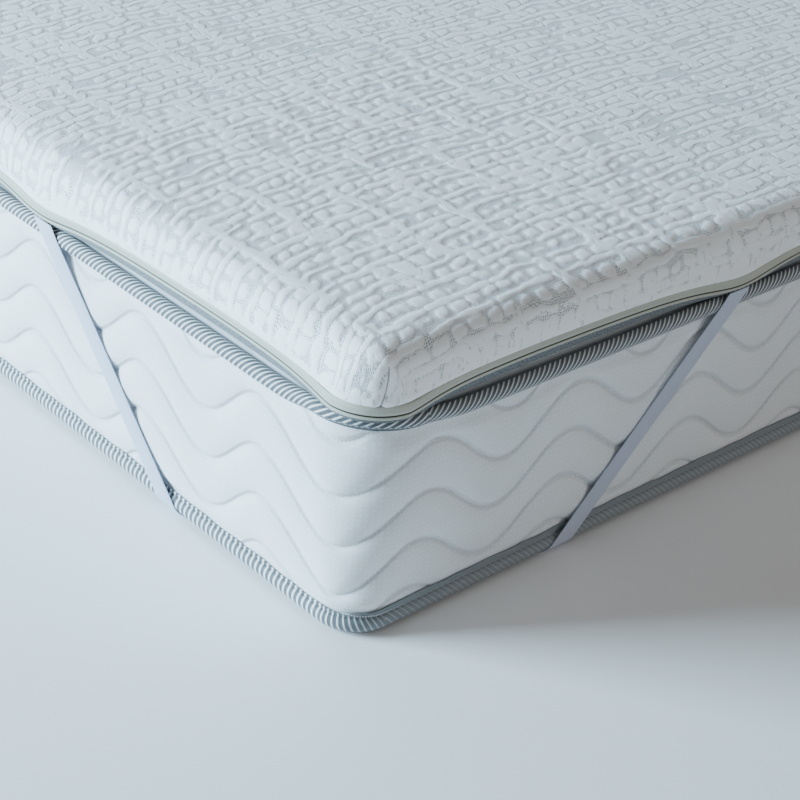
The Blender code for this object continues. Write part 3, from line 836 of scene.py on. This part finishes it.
# Behind the zip tape the cover turns in, down and under the foam.
low = BASE_BOTTOM + BASE_THICKNESS + 0.0003
under = [
    (inner - 0.0004, zip_top - 0.0002),
    (inner - 0.0004, hem_line - 0.0030),
    (inner - 0.0026, hem_line - 0.0034),
    (inner - 0.0026, low + 0.0034 - 0.0090 * pull),
    (-0.0070 + 0.0046 * pull, low + 0.0022 - 0.0084 * pull),
    (-0.0150 + 0.0040 * pull, low + 0.0011 - 0.0063 * pull),
    (-0.0300, low + 0.0006 - 0.0026 * pull),
    (-0.0600, low),
]
under_o, under_z = columns(under)
under_x, under_y, _, _ = place(under_o, np.maximum(HEM_RADIUS + under_o, 0.0))
all_x = np.hstack([ring_x[:, 1:], under_x])
all_y = np.hstack([ring_y[:, 1:], under_y])
all_z = np.hstack([ring_z[:, 1:], under_z])
n, m = all_x.shape
side_points = np.stack([all_x, all_y, all_z], -1).reshape(-1, 3)
points = np.concatenate([top_points.reshape(-1, 3), side_points])
ring_index = np.hstack([border[:, None], nx * ny + np.arange(n * m).reshape(n, m)])
closed_rings = np.vstack([ring_index, ring_index[:1]])
quads = np.concatenate([cells(index), cells(closed_rings.T)])
under_like = np.zeros_like(under_o)


def whole(top_values, side_values, under_value):
    """Puts one field's values in the order of the cover's points."""
    rest = np.hstack([side_values[:, 1:], under_like + under_value])
    return np.concatenate([top_values.ravel(), rest.ravel()])


cloth_u = whole(flat_knit[0], side_knit[0], side_knit[0][:, -1:])
cloth_v = whole(flat_knit[1], side_knit[1], side_knit[1][:, -1:])
underside = ring_index[::-1, -1]
faces = quads.tolist() + [underside.tolist()]
order = np.concatenate([quads.ravel(), underside])
uv = np.stack([cloth_u[order], cloth_v[order]], -1)
dart = np.where(side_z < DART_APEX, from_dart, NO_DART).clip(-NO_DART, NO_DART)
knit_layers = {
    "gap": whole(flat_knit[2], side_knit[2], -SMOOTHED),
    "carried": whole(carried, side_carried, 1.0),
    "dart": whole(0 * flat_x + NO_DART, dart, NO_DART),
}

# Viscose and polyester double knit: soft, matt and white. The same cells as
# in the mesh are drawn finely here, with ragged edges. The net ground has
# holes about 1.2 mm apart, drawn 2.2 mm apart so that they show.
double_knit, tree, cloth = new_cloth("white_double_knit", roughness=0.9, sheen=0.2)
ragged = add(
    tree, "TexNoise",
    {"Vector": cloth, "Scale": 260.0, "Detail": 3.0, "Roughness": 0.6},
    noise_dimensions="2D",
)
# The noise moves the edges by up to 2.6 mm along the rows and 2.2 mm across.
moved = add(
    tree, "VectorMath", [ragged.outputs["Color"], (0.0052, 0.0044, 0.0), cloth], operation="MULTIPLY_ADD"
)
moved = add(tree, "VectorMath", [moved, (0.0026, 0.0022, 0.0)], operation="SUBTRACT")
along, across, _ = add(tree, "SeparateXYZ", [moved]).outputs
row_turn = add(tree, "Math", [across, math.pi / KNIT_ROW, -math.pi / 2], operation="MULTIPLY_ADD")
row_sine = add(tree, "Math", [row_turn], operation="SINE")
uneven = add(tree, "Math", [row_sine, ROW_UNEVEN, across], operation="MULTIPLY_ADD")
rows = add(tree, "Math", [uneven, 1 / KNIT_ROW], operation="MULTIPLY")
row = add(tree, "Math", [rows], operation="FLOOR")
is_pad = add(tree, "Math", [row, 2.0], operation="MODULO")
shifted = add(tree, "Math", [row, ROW_SHIFT, along], operation="MULTIPLY_ADD")
bar_end = add(tree, "Math", [shifted, KNIT_BAR / 2], operation="PINGPONG")
pad_end = add(tree, "Math", [shifted, KNIT_PAD / 2], operation="PINGPONG")
to_end = add(tree, "Mix", {0: is_pad, 2: bar_end, 3: pad_end})
off_end = add(tree, "Math", [to_end, -2 / KNIT_ROW, 1.0], operation="MULTIPLY_ADD", use_clamp=True)
to_side = add(tree, "Math", [uneven, KNIT_ROW / 2], operation="PINGPONG")
off_side = add(tree, "Math", [to_side, -2 / KNIT_ROW, 1.0], operation="MULTIPLY_ADD")
end_square = add(tree, "Math", [off_end, off_end], operation="MULTIPLY")
squares = add(tree, "Math", [off_side, off_side, end_square], operation="MULTIPLY_ADD")
off_middle = add(tree, "Math", [squares], operation="SQRT")
inside = add(tree, "Math", [1.0, off_middle], operation="SUBTRACT")
gap = add(tree, "Attribute", attribute_name="gap").outputs["Fac"]
rise_start = add(tree, "Math", [is_pad, PAD_GAP, gap], operation="MULTIPLY_ADD")
risen = add(tree, "Math", [rise_start, RISE_OVER], operation="ADD")
formed = add(tree, "MapRange", [inside, rise_start, risen], interpolation_type="SMOOTHSTEP")
# Short upright slits in the smooth faces, about 1.5 mm by 8 mm.
stretched = add(tree, "VectorMath", [cloth, (240.0, 75.0, 0.0)], operation="MULTIPLY")
slits = add(tree, "TexNoise", {"Vector": stretched, "Scale": 1.0, "Detail": 2.0}, noise_dimensions="2D")
slit = add(tree, "MapRange", [slits, 0.60, 0.70, 0.0, 0.75])
is_plain = add(tree, "MapRange", [gap, -0.30, -0.50])
slit_shown = add(tree, "Math", [slit, is_plain], operation="MULTIPLY")
open_part = add(tree, "Math", [1.0, slit_shown], operation="SUBTRACT")
raised = add(tree, "Math", [formed, open_part], operation="MULTIPLY")
ground = add(tree, "MapRange", [raised, 0.75, 0.05], interpolation_type="SMOOTHSTEP")
holes = add(
    tree, "TexVoronoi",
    {"Vector": cloth, "Scale": 1 / NET_PITCH, "Randomness": 0.4},
    voronoi_dimensions="2D",
)
hole = add(tree, "MapRange", [holes, 0.42, 0.18])
net = add(tree, "Math", [ground, hole], operation="MULTIPLY")
loops = add(tree, "TexNoise", {"Vector": cloth, "Scale": 750.0, "Detail": 3.0}, noise_dimensions="2D")
# The ground between the pads is painted a little darker than the pads, and the net's holes much darker:
# painted shade in these hollows.
pad_and_shaded_ground = add(tree, "Mix", {0: ground, 6: linear("F5F7F8"), 7: linear("EBEEF0")}, data_type="RGBA")
with_shaded_holes = add(tree, "Mix", {0: net, 6: pad_and_shaded_ground, 7: linear("858D93")}, data_type="RGBA")
dart_field = add(tree, "Attribute", attribute_name="dart").outputs["Fac"]
dart_line = thin_line(tree, dart_field, 0.0, 0.0003, 0.0010, 0.8)
colour = add(tree, "Mix", {0: dart_line, 6: with_shaded_holes, 7: linear("6F767A")}, data_type="RGBA")
# Where the mesh carries the relief, the bump only sharpens it.
mesh_share = add(tree, "Attribute", attribute_name="carried").outputs["Fac"]
bump_share = add(tree, "Math", [mesh_share, -MESH_RELIEF_SHARE, 1.0], operation="MULTIPLY_ADD")
pushed = add(tree, "Math", [raised, bump_share], operation="MULTIPLY")
pierced = add(tree, "Math", [net, -0.25, pushed], operation="MULTIPLY_ADD")
relief = add(tree, "Math", [loops, 0.25, pierced], operation="MULTIPLY_ADD")
finish_cloth(tree, colour.outputs[2], relief, 0.0008)

cover = join_mesh("topper_cover", points, faces, uv, double_knit, knit_layers)
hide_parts("topper_pad")
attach(cover, "root")

# ---- The zip ----
# A fine beige coil zip sewn between the cover and the base panel. Closed, it
# shows as a smooth tape with one thin dark line, where the two halves meet.

ZIP_SEAM = 0.0046  # from the coil up to where the cover is sewn on

zip_edge = Edge(fine=0.0040, coarse=0.0100)
pull = pull_round(zip_edge, HEM_SHIFT)
line = HEM_HEIGHT - HEM_DROP * pull
inner = ZIP_INNER + HEM_SPREAD * pull
# Outset, height above the coil, and 1 on the half that a strap's pull widens.
section = [
    (0.0, -ZIP_BELOW, 0),
    (0.0012, -ZIP_BELOW, 0),
    (0.0017, -ZIP_BELOW + 0.0004, 0),
    (0.0018, -0.0009, 0),
    (0.0010, -0.0003, 0),
    (0.0010, 0.0003, 0),
    (0.0020, 0.0009, 0),
    (0.0023, 0.0030, 0),
    (0.0022, ZIP_ABOVE - 0.0030, 1),
    (0.0018, ZIP_ABOVE - 0.0004, 1),
    (0.0013, ZIP_ABOVE, 1),
    (0.0, ZIP_ABOVE, 1),
]
section_o, section_z, shown = np.array(section).T
outset = inner + section_o
height = line + section_z + ZIP_SHOWN * pull * shown

# Woven polyester tape: smooth, faintly glossy beige.
zip_cloth, tree, cloth = new_cloth("beige_polyester_zip_tape", roughness=0.6, sheen=0.1)
_, across, _ = add(tree, "SeparateXYZ", [cloth]).outputs
coil = thin_line(tree, across, 0.0, 0.0006, 0.0012, 1.0)
seam = thin_line(tree, across, ZIP_SEAM, 0.0001, 0.0006, 0.5)
ribs = add(tree, "TexNoise", {"Vector": cloth, "Scale": 900.0, "Detail": 2.0}, noise_dimensions="2D")
tape_colour = add(tree, "Mix", {0: ribs, 6: linear("AAAA9D"), 7: linear("BABAAE")}, data_type="RGBA")
seamed = add(tree, "Mix", {0: seam, 6: tape_colour, 7: linear("8F918B")}, data_type="RGBA")
colour = add(tree, "Mix", {0: coil, 6: seamed, 7: linear("2F2D21")}, data_type="RGBA")
finish_cloth(tree, colour.outputs[2], ribs, 0.00015)

zipper = carry_round(
    "zip_closed", zip_edge, outset, height, radius=HEM_RADIUS + outset,
    u=zip_edge.run[:, None] + 0 * height, v=height - line, material=zip_cloth,
)
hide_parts("zip_tape")
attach(zipper, "root")

# ---- The elastic straps ----
# Flat white braided elastic, 22 mm wide, one at each corner. Each is sewn
# under the zip on both faces and runs taut at 45 degrees under the corner.

STRAP_WIDTH, STRAP_THICKNESS = 0.022, 0.0012
STRAP_CLEARANCE, STRAP_TOP_OUTSET = 0.0004, 0.0062
STRAP_RIBS = 0.0014  # from rib to rib
TOP_TURNS, BOTTOM_TURNS = 6, 14  # steps in which it bends round each tape

# Braided elastic: smooth, slightly lavender white, with fine ribs along it
# about 1.4 mm apart.
elastic, tree, cloth = new_cloth("braided_white_elastic", roughness=0.5, sheen=0.15)
_, across, _ = add(tree, "SeparateXYZ", [cloth]).outputs
rib_turn = add(tree, "Math", [across, 2 * math.pi / STRAP_RIBS], operation="MULTIPLY")
rib = add(tree, "Math", [rib_turn], operation="SINE")
braid = add(tree, "TexNoise", {"Vector": cloth, "Scale": 1100.0, "Detail": 2.0}, noise_dimensions="2D")
colour = add(tree, "Mix", {0: braid, 6: linear("B2BBCF"), 7: linear("BEC6D8")}, data_type="RGBA")
woven = add(tree, "Math", [rib, 0.3, braid], operation="MULTIPLY_ADD")
finish_cloth(tree, colour.outputs[2], woven, 0.00015)

wrap = TAPE_RADIUS + STRAP_CLEARANCE + STRAP_THICKNESS / 2
top_end = HEM_HEIGHT - HEM_DROP - ZIP_BELOW - 0.0004
away, up = STRAP_TOP_OUTSET - TAPE_OUTSET, top_end - TOP_TAPE_HEIGHT
leave = math.atan2(up, away) - math.acos(wrap / math.hypot(away, up))
centreline = [(STRAP_TOP_OUTSET, top_end, math.cos(leave), math.sin(leave))]
turns = [(TOP_TAPE_HEIGHT, leave * (1 - i / TOP_TURNS)) for i in range(TOP_TURNS + 1)]
for i in range(BOTTOM_TURNS + 1):
    turns.append((BOTTOM_TAPE_HEIGHT, -math.pi / 2 * i / BOTTOM_TURNS))
for centre, turn in turns:
    c, s = math.cos(turn), math.sin(turn)
    centreline.append((TAPE_OUTSET + wrap * c, centre + wrap * s, c, s))
length = 0.0
strap_rows = []
for i, (o, z, c, s) in enumerate(centreline):
    if i:
        length += math.hypot(o - centreline[i - 1][0], z - centreline[i - 1][1])
    strap_rows.append((o, z, c, s, STRAP_FROM_CORNER - length))
under_run = strap_rows[-1][4] - strap_rows[-1][0]
half_cut = STRAP_WIDTH / 2 * math.sqrt(2)
last = under_run / 2 - half_cut
strap_rows.append((-last, strap_rows[-1][1], 0.0, -1.0, under_run - last))
# The band's section, as shares of its half width and half thickness.
outer = [(-1, 0.5), (-0.95, 1), (0.95, 1), (1, 0.5)]
cut, face = np.array(outer + [(-cut, -face) for cut, face in outer]).T
face = face * STRAP_THICKNESS / 2
o, z, c, s, along = np.array(strap_rows).T[:, :, None]
half_strap = np.stack([along + cut * half_cut, -(o + face * c), z + face * s], -1)
# The other half is its mirror image in the corner's diagonal.
strap = np.concatenate([half_strap, half_strap[::-1, :, [1, 0, 2]]])
middle = strap.mean(1)
strap_run = np.concatenate([[0], np.cumsum(np.linalg.norm(np.diff(middle, axis=0), axis=1))])
n, m = strap.shape[:2]
index = np.arange(n * m).reshape(n, m)
quads = cells(np.hstack([index, index[:, :1]]))
cut_across = cut * STRAP_WIDTH / 2
faces = quads.tolist() + [index[0].tolist(), index[-1].tolist()]
order = np.concatenate([np.array(f) for f in faces])
uv = np.stack([strap_run[order // m], cut_across[order % m]], -1)
for corner, (x_sign, y_sign) in CORNERS.items():
    spots = strap.copy()
    spots[..., 0] = x_sign * (WIDTH / 2 - strap[..., 0])
    spots[..., 1] = y_sign * (LENGTH / 2 - strap[..., 1])
    band = join_mesh(f"elastic_strap_{corner}", spots.reshape(-1, 3), faces, uv, elastic)
    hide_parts(f"strap_{corner}")
    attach(band, "root")

# ---- The floor ----
# A plain studio floor, painted matt white. The mattress stands on it, and it
# throws some light back on the border.

FLOOR_REACH, FLOOR_DROP = 15.0, 0.0004  # it lies this much under the mattress

floor_mesh = bpy.data.meshes.new("floor")
floor_points = [(x * FLOOR_REACH, y * FLOOR_REACH, -FLOOR_DROP) for x, y in CORNERS.values()]
floor_mesh.from_pydata(floor_points, [], [(0, 1, 2, 3)])
floor = put_in_scene("floor", floor_mesh)
floor_paint = bpy.data.materials.new("matt_white_floor")
floor_paint.use_nodes = True
floor_shader = floor_paint.node_tree.nodes["Principled BSDF"]
floor_shader.inputs["Base Color"].default_value = linear("F4F5F6")
floor_shader.inputs["Roughness"].default_value = 0.9
floor_mesh.materials.append(floor_paint)

# ---- The lights ----
# One large softbox in front and to the left, low so that the knit's relief
# shows, a weak one on the right, and a dim pale room.

lit_spot = Vector((0.2, -0.5, 0.15))
for name, spot, size, power, tint in (
    ("softbox_front_left", (-2.76, -4.50, 1.60), 2.4, 1170.0, (0.56, 0.82, 1.0)),
    ("softbox_right", (4.6, 2.6, 1.2), 1.2, 40.0, (1.0, 0.99, 0.97)),
):
    lamp = bpy.data.lights.new(name, "AREA")
    lamp.shape, lamp.size, lamp.energy, lamp.color = "SQUARE", size, power, tint
    light = put_in_scene(name, lamp)
    light.location = spot
    light.rotation_mode = "QUATERNION"
    light.rotation_quaternion = (lit_spot - Vector(spot)).to_track_quat("-Z", "Y")
room = bpy.data.worlds.new("pale_room")
room.use_nodes = True
air = room.node_tree.nodes["Background"]
air.inputs["Color"].default_value = (1.0, 0.96, 0.92, 1.0)
air.inputs["Strength"].default_value = 0.26
bpy.context.scene.world = room

# ---- The camera ----
# A long lens that looks down on the near corner, a little rolled, as in the
# photograph.

lens = bpy.data.cameras.new("camera")
lens.lens, lens.sensor_width = 88.49, 36.0
lens.clip_start, lens.clip_end = 0.05, 60.0
camera = put_in_scene("camera", lens)
camera.location = (1.6298, -1.9837, 1.1071)
camera.rotation_euler = [math.radians(angle) for angle in (59.207, -4.7975, 48.153)]
bpy.context.scene.camera = camera
